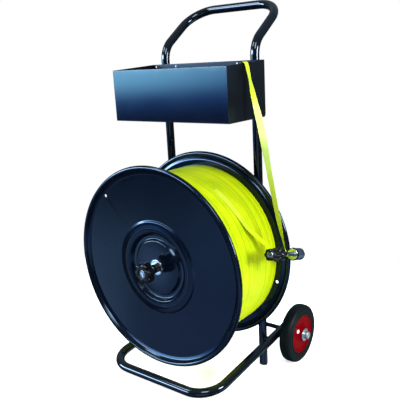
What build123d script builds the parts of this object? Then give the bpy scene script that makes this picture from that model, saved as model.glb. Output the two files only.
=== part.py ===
"""Two-wheeled strapping dispenser cart.

A bent tube frame carries a strapping reel on a fixed spindle, an open tool
box and a strap guide.  Everything is drawn with the uprights vertical
(assembly frame: X = 0 is the plane of symmetry, Y = 0 the uprights' plane with
-Y to the front, Z = 0 the foot of the uprights) and turned once, at the end,
into the stance in which the cart stands on crossbar, feet and tyres.
Millimetres.
"""

from build123d import *
import os
from math import cos, sin, tan, radians, pi

# ------------------------------------------------------------ driving sizes
LEAN = 8.024  # forward lean of the standing cart, degrees
ORIGIN = (-17.25, 93.0, 2.674)  # shift that puts the origin under the box centre

TUBE_R = 11.0  # frame tube, outer radius
WALL = 1.5  # frame tube wall
UPRIGHT_X = 140.7
BEND_Z = 843.0  # where the uprights bend back into the handle
HANDLE_Y, HANDLE_Z = 138.5, 940.6
FOOT_Z = 3.0  # lower end of the upright tubes
FOOT_DROP = 2.7  # how far the feet reach below Z = 0

BASE_X = 163.0
BAR_Y, BAR_Z = -277.8, 47.6
BASE_SLOPE = 0.0935  # rise per mm towards the rear
BASE_END_Y = 105.0
BASE_BEND = 65.0

AXLE_Y, AXLE_Z, AXLE_R = 91.4, 64.65, 6.0
TYRE_R = 79.45
RIM_SEAT_R = 50.0

REEL_Z = 331.0
FRONT_Y, REAR_Y = -251.3, -38.9  # centre planes of the two rolled rims
DISC_R, CURL_R = 250.0, 5.5
SHEET = 1.5
COIL_R, COIL_CORE_R = 216.0, 100.0
DRUM_R = 99.0
SPINDLE_R, HUB_R, HUB_BORE_R = 10.0, 17.0, 14.0
STUD_R = 6.0
PLATE_Y = -17.2  # front face of the spindle plate

BOX_X, BOX_Y0, BOX_Y1 = 173.7, -166.3, -11.1
BOX_Z0, BOX_Z1, BOX_BACK_Z = 670.0, 795.1, 803.1
BOX_SHEET = 1.2
BOX_FOLD_R = 8.0  # outer radius of the rear lower fold

GUIDE = Plane(
    origin=(267.0, -24.0, 342.0),
    x_dir=(1, 0, 0),
    z_dir=(0, -cos(radians(16.6)), sin(radians(16.6))),
)
ROD_R = 5.0
STRAP_W = 15.5

REEL_PLANE = Plane.XY.offset(REEL_Z)
REEL_AXIS = Axis((0, 0, REEL_Z), (0, 1, 0))
WHEEL_PLANE = Plane(origin=(0, AXLE_Y, AXLE_Z), x_dir=(1, 0, 0), z_dir=(0, -1, 0))
AXLE_AXIS = Axis((0, AXLE_Y, AXLE_Z), (1, 0, 0))
FLOOR = Plane(
    origin=(0, 0, -FOOT_DROP), z_dir=(0, sin(radians(LEAN)), cos(radians(LEAN)))
)
STANCE = Location(ORIGIN) * Location((0, 0, 0), (LEAN, 0, 0))

os.makedirs("parts", exist_ok=True)


def write(piece, label):
    """Label a finished piece, stand it in the cart's stance and write it."""
    piece.part.label = label
    stood = piece.part.moved(STANCE)
    stood.label = label
    export_step(stood, f"parts/{label}.step")


def base_z(y):
    """Centre height of the base side tubes at y."""
    return BAR_Z + BASE_SLOPE * (y - BAR_Y)


# ------------------------------------------------------------ bent main frame
with BuildPart() as main_frame:
    with BuildLine() as frame_path:
        FilletPolyline(
            (-UPRIGHT_X, 0, FOOT_Z),
            (-UPRIGHT_X, 0, BEND_Z),
            (-UPRIGHT_X, HANDLE_Y, HANDLE_Z),
            (UPRIGHT_X, HANDLE_Y, HANDLE_Z),
            (UPRIGHT_X, 0, BEND_Z),
            (UPRIGHT_X, 0, FOOT_Z),
            radius=[60, 70, 70, 60],
        )
    with BuildSketch(Plane(origin=frame_path.wire() @ 0, z_dir=frame_path.wire() % 0)):
        Circle(TUBE_R)
        Circle(TUBE_R - WALL, mode=Mode.SUBTRACT)
    sweep(path=frame_path.wire())
    # clearance holes for the tool-box bolts, front to back
    with BuildSketch(Plane.XZ.offset(-20)):
        with Locations(
            (-UPRIGHT_X, 700), (UPRIGHT_X, 700), (-UPRIGHT_X, 770), (UPRIGHT_X, 770)
        ):
            Circle(3.2)
    extrude(amount=40, mode=Mode.SUBTRACT)
write(main_frame, "main_frame")

# feet: plastic plugs, cut flat where they stand on the floor
with BuildPart() as foot_plugs:
    with BuildSketch(Plane.XY.offset(-3 - FOOT_DROP)):
        with Locations((-UPRIGHT_X, 0), (UPRIGHT_X, 0)):
            Circle(TUBE_R)
    extrude(amount=3 + FOOT_DROP + FOOT_Z)
    with BuildSketch(Plane.XY.offset(FOOT_Z)):
        with Locations((-UPRIGHT_X, 0), (UPRIGHT_X, 0)):
            Circle(TUBE_R - WALL - 0.05)
    extrude(amount=16)
    split(bisect_by=FLOOR, keep=Keep.TOP)
write(foot_plugs, "foot_plugs")

# ------------------------------------------------------------ base frame
with BuildPart() as base_frame:
    with BuildLine() as base_path:
        FilletPolyline(
            (-BASE_X, BASE_END_Y, base_z(BASE_END_Y)),
            (-BASE_X, BAR_Y, BAR_Z),
            (BASE_X, BAR_Y, BAR_Z),
            (BASE_X, BASE_END_Y, base_z(BASE_END_Y)),
            radius=[BASE_BEND, BASE_BEND],
        )
    with BuildSketch(Plane(origin=base_path.wire() @ 0, z_dir=base_path.wire() % 0)):
        Circle(TUBE_R)
        Circle(TUBE_R - WALL, mode=Mode.SUBTRACT)
    sweep(path=base_path.wire())
write(base_frame, "base_frame")

BASE_DIR = Vector(0, 1, BASE_SLOPE).normalized()
with BuildPart() as base_end_plugs:
    for x in (-BASE_X, BASE_X):
        end = Plane(origin=(x, BASE_END_Y, base_z(BASE_END_Y)), z_dir=BASE_DIR)
        with BuildSketch(end):
            Circle(TUBE_R)
        extrude(amount=2.5)
        with BuildSketch(end):
            Circle(TUBE_R - WALL - 0.05)
        extrude(amount=-14)
write(base_end_plugs, "base_end_plugs")

# ------------------------------------------------------------ spindle plate
with BuildPart() as spindle_plate:
    with BuildSketch(Plane.XZ.offset(11.2)):
        with Locations((0, REEL_Z)):
            RectangleRounded(2 * UPRIGHT_X + 24, 70, 8)
    extrude(amount=-PLATE_Y - 11.2)
write(spindle_plate, "spindle_plate")

# weld puddles: base to uprights, base to axle, plate to uprights
with BuildPart() as weld_beads:
    for x in (-1, 1):
        with Locations((x * (UPRIGHT_X + TUBE_R + 0.15), 0, base_z(0))):
            Sphere(8)
        with Locations((x * BASE_X, AXLE_Y, AXLE_Z + AXLE_R + 0.2)):
            Sphere(7)
        for z in (308, 354):
            with Locations((x * UPRIGHT_X, -11.1, z)):
                Sphere(6.5)
    with BuildSketch(Plane.XY):
        with Locations((-UPRIGHT_X, 0), (UPRIGHT_X, 0)):
            Circle(TUBE_R + 0.02)
    extrude(amount=400, mode=Mode.SUBTRACT)
    for x in (-BASE_X, BASE_X):
        with BuildSketch(Plane(origin=(x, -60, base_z(-60)), z_dir=BASE_DIR)):
            Circle(TUBE_R + 0.02)
        extrude(amount=220, mode=Mode.SUBTRACT)
    with BuildSketch(Plane(origin=(-200, AXLE_Y, AXLE_Z), z_dir=(1, 0, 0))):
        Circle(AXLE_R + 0.02)
    extrude(amount=400, mode=Mode.SUBTRACT)
    with BuildSketch(Plane.XZ.offset(11.2)):
        with Locations((0, REEL_Z)):
            Rectangle(400, 90)
    extrude(amount=12, mode=Mode.SUBTRACT)
write(weld_beads, "weld_beads")

# ------------------------------------------------------------ spindle
with BuildPart() as spindle:
    with BuildSketch(REEL_PLANE):
        with BuildLine():
            Polyline(
                (0, PLATE_Y - 0.02),
                (16, PLATE_Y - 0.02),
                (16, -38.0),
                (SPINDLE_R, -38.0),
                (SPINDLE_R, -222.2),
                (9, -222.2),
                (9, -224.5),
                (SPINDLE_R, -224.5),
                (SPINDLE_R, -229.0),
                (9, -230.0),
                (0, -230.0),
                close=True,
            )
        make_face()
    revolve(axis=REEL_AXIS)
write(spindle, "spindle")

with BuildPart() as thrust_washer:
    with BuildSketch(Plane.XZ.offset(38.1)):
        with Locations((0, REEL_Z)):
            Circle(16.5)
            Circle(10.3, mode=Mode.SUBTRACT)
    extrude(amount=1.6)
write(thrust_washer, "thrust_washer")

with BuildPart() as retaining_ring:
    with BuildSketch(Plane.XZ.offset(222.4)):
        with Locations((0, REEL_Z)):
            Circle(12.6)
            Circle(9.05, mode=Mode.SUBTRACT)
        with Locations((0, REEL_Z - 11)):
            Rectangle(6, 8, mode=Mode.SUBTRACT)
    extrude(amount=1.8)
write(retaining_ring, "retaining_ring")

# ------------------------------------------------------------ reel
with BuildPart() as reel_hub:
    with BuildSketch(Plane.XZ.offset(40)):
        with Locations((0, REEL_Z)):
            Circle(HUB_R)
            Circle(HUB_BORE_R, mode=Mode.SUBTRACT)
    extrude(amount=203.6)
write(reel_hub, "reel_hub")

with BuildPart() as hub_bushes:
    for start, length in ((40.2, 25.0), (196.0, 25.5)):
        with BuildSketch(Plane.XZ.offset(start)):
            with Locations((0, REEL_Z)):
                Circle(HUB_BORE_R - 0.02)
                Circle(SPINDLE_R + 0.05, mode=Mode.SUBTRACT)
        extrude(amount=length)
write(hub_bushes, "hub_bushes")

with BuildPart() as hub_stud:
    with BuildSketch(Plane.XZ.offset(231)):
        with Locations((0, REEL_Z)):
            Circle(HUB_BORE_R - 0.02)
    extrude(amount=12.6)
    with BuildSketch(Plane.XZ.offset(243.6)):
        with Locations((0, REEL_Z)):
            Circle(STUD_R)
    extrude(amount=54.4)
    chamfer(faces().sort_by(Axis.Y)[0].edges(), 1)
write(hub_stud, "hub_stud")

# profile of the pressed side discs: radius, depth from the rim's centre plane
# towards the coil
PRESSING = [
    (66, 6.0),
    (69, 8.0),
    (72, 12.0),
    (80, 12.0),
    (84, 9.5),
    (92, 1.8),
    (96, 0.5),
    (104, 0.5),
    (112, 3.0),
    (118, 6.0),
    (229, 6.0),
    (234, 4.0),
    (239.6, -0.75),
]


def disc_outline(centre_y, towards_coil, hole_r):
    """Closed outline of one pressed disc in the (radius, Y) plane."""
    outer = [(hole_r, 6.0)] + PRESSING
    near = [(r, centre_y + towards_coil * h) for r, h in outer]
    far = [(r, centre_y + towards_coil * (h + SHEET)) for r, h in reversed(outer)]
    return near + far


def disc_curl(centre_y, towards_coil):
    """Rolled edge of a disc: a ring with a fine open seam on the coil side."""
    with Locations((DISC_R - CURL_R, centre_y)):
        Circle(CURL_R)
        Circle(CURL_R - SHEET, mode=Mode.SUBTRACT)
    with Locations((DISC_R - CURL_R, centre_y + towards_coil * (CURL_R - 0.6))):
        Rectangle(0.8, 2.4, mode=Mode.SUBTRACT)


with BuildPart() as rear_disc:
    with BuildSketch(REEL_PLANE):
        with BuildLine():
            Polyline(*disc_outline(REAR_Y, -1, HUB_R + 0.03), close=True)
        make_face()
        disc_curl(REAR_Y, -1)
    revolve(axis=REEL_AXIS)
    # strap-end hole
    with BuildSketch(Plane.XZ.offset(-REAR_Y - 5)):
        with Locations(
            (224.5 * cos(radians(-16.5)), REEL_Z + 224.5 * sin(radians(-16.5)))
        ):
            Circle(4)
    extrude(amount=20, mode=Mode.SUBTRACT)
write(rear_disc, "rear_disc")

with BuildPart() as front_disc:
    with BuildSketch(REEL_PLANE):
        with BuildLine():
            Polyline(*disc_outline(FRONT_Y, 1, STUD_R + 0.5), close=True)
        make_face()
        disc_curl(FRONT_Y, 1)
    revolve(axis=REEL_AXIS)
    with BuildSketch(Plane.XZ.offset(-FRONT_Y - 15)):
        with Locations(
            (224.5 * cos(radians(134)), REEL_Z + 224.5 * sin(radians(134)))
        ):
            Circle(4)
    extrude(amount=20, mode=Mode.SUBTRACT)
write(front_disc, "front_disc")

with BuildPart() as core_drum:
    with BuildSketch(Plane.XZ.offset(41.0)):
        with Locations((0, REEL_Z)):
            Circle(DRUM_R)
            Circle(DRUM_R - 1.5, mode=Mode.SUBTRACT)
    extrude(amount=208.1)
write(core_drum, "core_drum")

with BuildPart() as strapping_coil:
    with BuildSketch(Plane.XZ.offset(46.7)):
        with Locations((0, REEL_Z)):
            Circle(COIL_R)
            Circle(COIL_CORE_R, mode=Mode.SUBTRACT)
    extrude(amount=196.6)
write(strapping_coil, "strapping_coil")

# ------------------------------------------------------------ reel clamp
with BuildPart() as knob_washer:
    with BuildSketch(Plane.XZ.offset(245.3)):
        with Locations((0, REEL_Z)):
            Circle(19.5)
            Circle(STUD_R + 0.5, mode=Mode.SUBTRACT)
    extrude(amount=3.0)
write(knob_washer, "knob_washer")

with BuildPart() as reel_knob:
    with BuildSketch(Plane.XZ.offset(248.6)):
        with Locations((0, REEL_Z)):
            Circle(12)
    extrude(amount=27.4)
    with BuildSketch(Plane.XZ.offset(275)):
        with Locations((0, REEL_Z)):
            Circle(19)
            with PolarLocations(18.2, 6, start_angle=15):
                Circle(8.3)
    extrude(amount=25)
    with BuildSketch(Plane.XZ.offset(296)):
        with Locations((0, REEL_Z)):
            Circle(10)
    extrude(amount=10, mode=Mode.SUBTRACT)
    with BuildSketch(Plane.XZ.offset(248)):
        with Locations((0, REEL_Z)):
            Circle(9)
    extrude(amount=60, mode=Mode.SUBTRACT)
write(reel_knob, "reel_knob")

with BuildPart() as knob_insert:
    with BuildSketch(Plane.XZ.offset(248.6)):
        with Locations((0, REEL_Z)):
            Circle(8.98)
            Circle(STUD_R + 0.05, mode=Mode.SUBTRACT)
    extrude(amount=47.6)
write(knob_insert, "knob_insert")

# ------------------------------------------------------------ tool box
with BuildPart() as box_shell:
    with BuildSketch(Plane.XY.offset(BOX_Z0)):
        with Locations((0, (BOX_Y0 + BOX_Y1) / 2)):
            Rectangle(2 * BOX_X, BOX_Y1 - BOX_Y0)
    extrude(amount=BOX_BACK_Z - BOX_Z0)
    rear_fold = (
        edges().filter_by(Axis.X).group_by(Axis.Z)[0].sort_by(Axis.Y)[-1]
    )
    fillet(rear_fold, BOX_FOLD_R)
    offset(amount=-BOX_SHEET, openings=faces().sort_by(Axis.Z)[-1])
    # the end walls' upper edges rise from the front to the higher back
    with BuildSketch(Plane.YZ):
        with BuildLine():
            Polyline(
                (BOX_Y0 - 5, BOX_Z1),
                (BOX_Y0 + BOX_SHEET, BOX_Z1),
                (BOX_Y1, BOX_BACK_Z),
                (BOX_Y1, BOX_BACK_Z + 20),
                (BOX_Y0 - 5, BOX_BACK_Z + 20),
                close=True,
            )
        make_face()
    extrude(amount=BOX_X + 10, both=True, mode=Mode.SUBTRACT)
    # bolt holes and small hanging holes in the back
    with BuildSketch(Plane.XZ.offset(5)):
        with Locations(
            (-UPRIGHT_X, 700), (UPRIGHT_X, 700), (-UPRIGHT_X, 770), (UPRIGHT_X, 770)
        ):
            Circle(3.2)
        with Locations((-165, 797), (-96.6, 797), (96.6, 797), (165, 797)):
            Circle(2.5)
    extrude(amount=15, mode=Mode.SUBTRACT)

# the shell is four welded panels: a folded tray (front and floor), the back
# above the rear fold, and two end walls
END_IN = BOX_X - BOX_SHEET
BACK_IN = BOX_Y1 - BOX_SHEET
BACK_LOW = BOX_Z0 + BOX_FOLD_R
for side, s in (("left", -1), ("right", 1)):
    with BuildPart() as tool_box_end:
        add(box_shell.part)
        split(
            bisect_by=Plane(origin=(s * END_IN, 0, 0), z_dir=(s, 0, 0)), keep=Keep.TOP
        )
    write(tool_box_end, f"tool_box_end_{side}")

with BuildPart() as tool_box_back:
    add(box_shell.part)
    split(bisect_by=Plane(origin=(-END_IN, 0, 0), z_dir=(1, 0, 0)), keep=Keep.TOP)
    split(bisect_by=Plane(origin=(END_IN, 0, 0), z_dir=(-1, 0, 0)), keep=Keep.TOP)
    split(bisect_by=Plane(origin=(0, BACK_IN, 0), z_dir=(0, 1, 0)), keep=Keep.TOP)
    split(bisect_by=Plane(origin=(0, 0, BACK_LOW), z_dir=(0, 0, 1)), keep=Keep.TOP)
write(tool_box_back, "tool_box_back")

with BuildPart() as tool_box_tray:
    add(box_shell.part)
    split(bisect_by=Plane(origin=(-END_IN, 0, 0), z_dir=(1, 0, 0)), keep=Keep.TOP)
    split(bisect_by=Plane(origin=(END_IN, 0, 0), z_dir=(-1, 0, 0)), keep=Keep.TOP)
    with BuildSketch(Plane.XY.offset(BACK_LOW)):
        with Locations((0, BACK_IN + 10)):
            Rectangle(2 * BOX_X, 20)
    extrude(amount=200, mode=Mode.SUBTRACT)
write(tool_box_tray, "tool_box_tray")

BOX_BOLTS = [(x, z) for x in (-UPRIGHT_X, UPRIGHT_X) for z in (700, 770)]
with BuildPart() as box_bolts:
    with BuildSketch(Plane.XZ.offset(-15.0)):
        with Locations(*BOX_BOLTS):
            RegularPolygon(5.0, 6, major_radius=False)
    extrude(amount=4)
    with BuildSketch(Plane.XZ.offset(-11.0)):
        with Locations(*BOX_BOLTS):
            Circle(3)
    extrude(amount=31)
write(box_bolts, "box_bolts")

with BuildPart() as box_nuts:
    with BuildSketch(Plane.XZ.offset(-BOX_Y1 + BOX_SHEET + 0.02)):
        with Locations(*BOX_BOLTS):
            RegularPolygon(5.0, 6, major_radius=False)
            Circle(3.02, mode=Mode.SUBTRACT)
    extrude(amount=5)
write(box_nuts, "box_nuts")

# ------------------------------------------------------------ axle and wheels
with BuildPart() as axle:
    with BuildSketch(Plane(origin=(-226.5, AXLE_Y, AXLE_Z), z_dir=(1, 0, 0))):
        Circle(AXLE_R)
    extrude(amount=453)
write(axle, "axle")

TYRE = [
    (182.7, 50.10),
    (208.5, 50.10),
    (209.6, 52.20),
    (211.0, 52.40),
    (212.1, 56.53),
    (212.5, 63.40),
    (211.9, 70.28),
    (210.1, 75.55),
    (206.5, 78.76),
    (202.5, 79.45),
    (188.5, 79.45),
    (184.5, 78.76),
    (180.9, 75.55),
    (179.1, 70.28),
    (178.5, 63.40),
    (178.9, 56.53),
    (180.0, 52.40),
    (181.4, 52.20),
]
RIM = [
    (217.3, 10.05),
    (217.3, 14.0),
    (213.5, 16.0),
    (208.8, 21.5),
    (206.1, 30.0),
    (206.3, 42.0),
    (208.7, 48.0),
    (210.8, 52.1),
    (209.8, 52.1),
    (208.7, 50.0),
    (182.5, 50.0),
    (181.2, 52.1),
    (180.2, 52.1),
    (181.5, 48.4),
    (206.1, 48.4),
    (204.3, 43.0),
    (204.1, 29.5),
    (206.7, 20.2),
    (210.0, 14.0),
    (179.4, 14.0),
    (179.4, 10.05),
]

for side, s in (("left", -1), ("right", 1)):
    with BuildPart() as tyre:
        with BuildSketch(WHEEL_PLANE):
            with BuildLine():
                Polyline(*[(s * x, r) for x, r in TYRE], close=True)
            make_face()
        revolve(axis=AXLE_AXIS)
    write(tyre, f"tyre_{side}")

    with BuildPart() as rim:
        with BuildSketch(WHEEL_PLANE):
            with BuildLine():
                Polyline(*[(s * x, r) for x, r in RIM], close=True)
            make_face()
        revolve(axis=AXLE_AXIS)
        # valve hole through the web
        with BuildSketch(
            Plane(origin=(s * 199.5, AXLE_Y - 19.5, AXLE_Z + 14.5), z_dir=(s, 0, 0))
        ):
            Circle(5)
        extrude(amount=15, mode=Mode.SUBTRACT)
    write(rim, f"rim_{side}")

    with BuildPart() as wheel_bushes:
        for a, b in ((179.5, 191.5), (202.5, 217.2)):
            with BuildSketch(
                Plane(origin=(s * a, AXLE_Y, AXLE_Z), z_dir=(s, 0, 0))
            ):
                Circle(10.02)
                Circle(AXLE_R + 0.05, mode=Mode.SUBTRACT)
            extrude(amount=b - a)
    write(wheel_bushes, f"wheel_bushes_{side}")

with BuildPart() as axle_washers:
    for s in (-1, 1):
        for a, b, r in ((174.2, 178.4, 15.0), (217.5, 219.5, 17.0)):
            with BuildSketch(
                Plane(origin=(s * a, AXLE_Y, AXLE_Z), z_dir=(s, 0, 0))
            ):
                Circle(r)
                Circle(AXLE_R + 0.1, mode=Mode.SUBTRACT)
            extrude(amount=b - a)
write(axle_washers, "axle_washers")

with BuildPart() as axle_caps:
    for s in (-1, 1):
        with BuildSketch(
            Plane(origin=(s * 219.7, AXLE_Y, AXLE_Z), z_dir=(s, 0, 0))
        ):
            Circle(10.5)
        extrude(amount=10)
    chamfer(
        edges().filter_by(GeomType.CIRCLE).group_by(Axis.X)[0]
        + edges().filter_by(GeomType.CIRCLE).group_by(Axis.X)[-1],
        1.2,
    )
    with BuildSketch(Plane(origin=(-226.6, AXLE_Y, AXLE_Z), z_dir=(1, 0, 0))):
        Circle(AXLE_R + 0.02)
    extrude(amount=453.2, mode=Mode.SUBTRACT)
write(axle_caps, "axle_caps")

# ------------------------------------------------------------ strap guide
# flat bar with a round end, on a stub that meets the spindle plate
with BuildPart() as guide_arm:
    with BuildSketch(GUIDE):
        with Locations((-72, 0)):
            Rectangle(144, 20)
        Circle(10)
        Circle(ROD_R + 0.1, mode=Mode.SUBTRACT)
    extrude(amount=-5)
    with BuildSketch(Plane.XZ.offset(-PLATE_Y + 0.1)):
        with Locations((135, 340.6)):
            Circle(7)
    extrude(until=Until.NEXT)
    # the bar's upper edge lies against the plate
    with BuildSketch(Plane.XZ.offset(-PLATE_Y + 0.05)):
        with Locations((100, 340.6)):
            Rectangle(120, 60)
    extrude(amount=-10, mode=Mode.SUBTRACT)
write(guide_arm, "guide_arm")

with BuildPart() as guide_spool:
    with BuildSketch(GUIDE.offset(0.1)):
        Circle(14.5)
        Circle(ROD_R + 0.02, mode=Mode.SUBTRACT)
    extrude(amount=32)
    with BuildSketch(GUIDE.offset(32.1)):
        Circle(15.5)
        Circle(ROD_R + 0.02, mode=Mode.SUBTRACT)
    extrude(amount=5.5)
write(guide_spool, "guide_spool")

with BuildPart() as guide_rod:
    with BuildSketch(GUIDE.offset(-12)):
        Circle(ROD_R)
    extrude(amount=156)
write(guide_rod, "guide_rod")

with BuildPart() as guide_nut:
    with BuildSketch(GUIDE.offset(-5.1)):
        RegularPolygon(7.5, 6, major_radius=False)
        Circle(ROD_R + 0.02, mode=Mode.SUBTRACT)
    extrude(amount=-6)
write(guide_nut, "guide_nut")

with BuildPart() as guide_knob:
    with BuildSketch(GUIDE.offset(88)):
        Circle(10)
    extrude(amount=4)
    with BuildSketch(GUIDE.offset(92)):
        Circle(12.5)
        with PolarLocations(11.5, 6):
            Circle(6)
    extrude(amount=24)
    with BuildSketch(GUIDE.offset(116)):
        Circle(11)
        with PolarLocations(9.5, 6, start_angle=30):
            Circle(5)
    extrude(amount=31)
    with BuildSketch(GUIDE.offset(88)):
        Circle(8)
    extrude(amount=60, mode=Mode.SUBTRACT)
write(guide_knob, "guide_knob")

with BuildPart() as guide_knob_insert:
    with BuildSketch(GUIDE.offset(88)):
        Circle(7.98)
        Circle(ROD_R + 0.05, mode=Mode.SUBTRACT)
    extrude(amount=54)
write(guide_knob_insert, "guide_knob_insert")

# ------------------------------------------------------------ free strap
# off the coil, round the underside of the rod, up and over the box wall,
# down inside the box
STRAP = [
    (169.6, -139.0, 480.3),
    (262.8, -95.0, 344.6),
    (283.2, -91.0, 354.4),
    (243.5, -93.0, 525.0),
    (213.5, -95.0, 663.0),
    (181.5, -96.0, 812.8),
    (160.3, -96.0, 810.3),
    (157.5, -99.0, 752.0),
    (143.0, -105.0, 695.0),
]
STRAP_R = STRAP_W / 2


def corner_radii(points, fixed):
    """As large an arc at each corner as its two runs allow, unless fixed."""
    radii = []
    for i in range(1, len(points) - 1):
        a = Vector(points[i]) - Vector(points[i - 1])
        b = Vector(points[i + 1]) - Vector(points[i])
        half = radians(a.get_angle(b)) / 2
        radii.append(fixed.get(i, 0.45 * min(a.length, b.length) / tan(half)))
    return radii


STRAP_RADII = corner_radii(STRAP, {1: 13.8, 2: 13.8, 5: 12.0, 6: 12.0})
print("strap radii", [round(r, 1) for r in STRAP_RADII])
with BuildPart() as strap:
    with BuildLine() as strap_path:
        FilletPolyline(*STRAP, radius=STRAP_RADII)
    with BuildSketch(Plane(origin=strap_path.wire() @ 0, z_dir=strap_path.wire() % 0)):
        Circle(STRAP_R)
    sweep(path=strap_path.wire())
print(
    "strap length",
    round(strap_path.wire().length, 1),
    "volume ratio",
    round(strap.part.volume / (pi * STRAP_R**2 * strap_path.wire().length), 4),
)
write(strap, "strap")
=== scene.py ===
import bpy, bmesh, math
import numpy as np
from mathutils import Matrix, Vector, Quaternion


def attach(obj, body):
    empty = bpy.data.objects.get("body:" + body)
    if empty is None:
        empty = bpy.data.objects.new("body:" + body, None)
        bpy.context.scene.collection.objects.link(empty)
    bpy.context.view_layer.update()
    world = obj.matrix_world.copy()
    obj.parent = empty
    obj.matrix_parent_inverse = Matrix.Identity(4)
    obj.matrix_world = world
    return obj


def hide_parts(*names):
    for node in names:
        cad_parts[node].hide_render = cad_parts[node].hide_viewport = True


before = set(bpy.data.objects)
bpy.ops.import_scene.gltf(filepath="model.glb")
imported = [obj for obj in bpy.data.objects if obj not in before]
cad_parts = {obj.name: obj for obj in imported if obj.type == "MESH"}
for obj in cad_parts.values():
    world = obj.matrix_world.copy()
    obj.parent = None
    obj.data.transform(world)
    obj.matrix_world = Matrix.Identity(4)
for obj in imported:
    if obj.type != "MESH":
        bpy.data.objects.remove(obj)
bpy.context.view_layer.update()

# ---------------------------------------------------------------- the frame
# Pieces are drawn in millimetres with the uprights vertical, as in part.py,
# and turned into the cart's stance here.
LEAN = math.radians(8.024)
ORIGIN = (-17.25, 93.0, 2.674)
FOOT_DROP = 2.7
STANCE = (
    Matrix.Translation(Vector(ORIGIN) / 1000)
    @ Matrix.Rotation(LEAN, 4, "X")
    @ Matrix.Scale(0.001, 4)
)
TUBE_R = 11.0
UPRIGHT_X = 140.7
BEND_Z = 843.0
HANDLE_Y, HANDLE_Z = 138.5, 940.6
BASE_X = 163.0
BAR_Y, BAR_Z = -277.8, 47.6
BASE_SLOPE = 0.0935
BASE_END_Y = 105.0
AXLE_Y, AXLE_Z = 91.4, 64.65
REEL_Z = 331.0
FRONT_Y, REAR_Y = -251.3, -38.9
COIL_R = 216.0
BOX_X, BOX_Y0, BOX_Y1 = 173.7, -166.3, -11.1
BOX_Z0, BOX_Z1, BOX_BACK_Z = 670.0, 795.1, 803.1
G = math.radians(16.6)
GUIDE_O = Vector((267.0, -24.0, 342.0))
GUIDE_DIR = Vector((0, -math.cos(G), math.sin(G)))


def base_z(y):
    return BAR_Z + BASE_SLOPE * (y - BAR_Y)


# ---------------------------------------------------------------- camera
def look():
    a, e, r = math.radians(38.22), math.radians(13.90), math.radians(-3.13)
    ca, sa, ce, se = math.cos(a), math.sin(a), math.cos(e), math.sin(e)
    f = Vector((-sa * ce, ca * ce, -se))
    rt = Vector((ca, sa, 0))
    up = rt.cross(f)
    right = math.cos(r) * rt + math.sin(r) * up
    top = -math.sin(r) * rt + math.cos(r) * up
    turn = Matrix.Rotation(LEAN, 3, "X")
    m = Matrix.Identity(4)
    for i, v in enumerate((turn @ right, turn @ top, turn @ -f)):
        for k in range(3):
            m[k][i] = v[k]
    m.translation = STANCE @ Vector((891.3, -1194.5, 813.1))
    cam = bpy.data.cameras.new("camera")
    cam.sensor_width = 36
    cam.lens = 570.87 * 36 / 400
    cam.clip_end = 50
    o = bpy.data.objects.new("camera", cam)
    bpy.context.collection.objects.link(o)
    o.matrix_world = m
    bpy.context.scene.camera = o


look()


# ---------------------------------------------------------------- materials
class Nodes:
    """A short way to write a node tree."""

    def __init__(self, name):
        self.mat = bpy.data.materials.new(name)
        self.mat.use_nodes = True
        self.t = self.mat.node_tree
        self.b = self.t.nodes["Principled BSDF"]

    def add(self, kind, **inputs):
        n = self.t.nodes.new(kind)
        for k, v in inputs.items():
            if hasattr(n, k) and not k[0].isupper():
                setattr(n, k, v)
            else:
                key = k.replace("_", " ")
                sock = n.inputs[key]
                if isinstance(v, bpy.types.NodeSocket):
                    self.t.links.new(v, sock)
                else:
                    sock.default_value = v
        return n

    def link(self, a, b):
        self.t.links.new(a, b)

    def math(self, op, a, b=None, clamp=False):
        n = self.t.nodes.new("ShaderNodeMath")
        n.operation = op
        n.use_clamp = clamp
        for i, v in enumerate((a, b)):
            if v is None:
                continue
            if isinstance(v, bpy.types.NodeSocket):
                self.link(v, n.inputs[i])
            else:
                n.inputs[i].default_value = v
        return n.outputs[0]

    def ramp(self, fac, stops, interp="LINEAR"):
        n = self.t.nodes.new("ShaderNodeValToRGB")
        self.link(fac, n.inputs[0])
        n.color_ramp.interpolation = interp
        e = n.color_ramp.elements
        while len(e) < len(stops):
            e.new(0.5)
        for s, (p, c) in zip(e, stops):
            s.position = p
            s.color = (*c, 1) if len(c) == 3 else c
        return n.outputs[0]

    def mix(self, fac, a, b, kind="MIX"):
        n = self.t.nodes.new("ShaderNodeMix")
        n.data_type = "RGBA"
        n.blend_type = kind
        for s, v in ((n.inputs[0], fac), (n.inputs[6], a), (n.inputs[7], b)):
            if isinstance(v, bpy.types.NodeSocket):
                self.link(v, s)
            elif isinstance(v, (tuple, list)):
                s.default_value = (*v, 1) if len(v) == 3 else v
            else:
                s.default_value = v
        return n.outputs[2]

    def pos(self, scale=1.0):
        g = self.t.nodes.new("ShaderNodeTexCoord")
        m = self.t.nodes.new("ShaderNodeMapping")
        self.link(g.outputs["Object"], m.inputs[0])
        m.inputs["Scale"].default_value = (
            (scale,) * 3 if isinstance(scale, (int, float)) else scale
        )
        return m.outputs[0]

    def noise(self, vec, scale, detail=4, rough=0.5):
        n = self.t.nodes.new("ShaderNodeTexNoise")
        self.link(vec, n.inputs["Vector"])
        n.inputs["Scale"].default_value = scale
        n.inputs["Detail"].default_value = detail
        n.inputs["Roughness"].default_value = rough
        return n.outputs["Fac"]

    def bump(self, height, strength, distance, under=None):
        n = self.t.nodes.new("ShaderNodeBump")
        n.inputs["Strength"].default_value = strength
        n.inputs["Distance"].default_value = distance
        self.link(height, n.inputs["Height"])
        if under is not None:
            self.link(under, n.inputs["Normal"])
        return n.outputs["Normal"]

    def set(self, **kw):
        for k, v in kw.items():
            s = self.b.inputs[k.replace("_", " ")]
            if isinstance(v, bpy.types.NodeSocket):
                self.link(v, s)
            elif isinstance(v, tuple) and len(v) == 3 and s.type == "RGBA":
                s.default_value = (*v, 1)
            else:
                s.default_value = v
        return self


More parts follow.
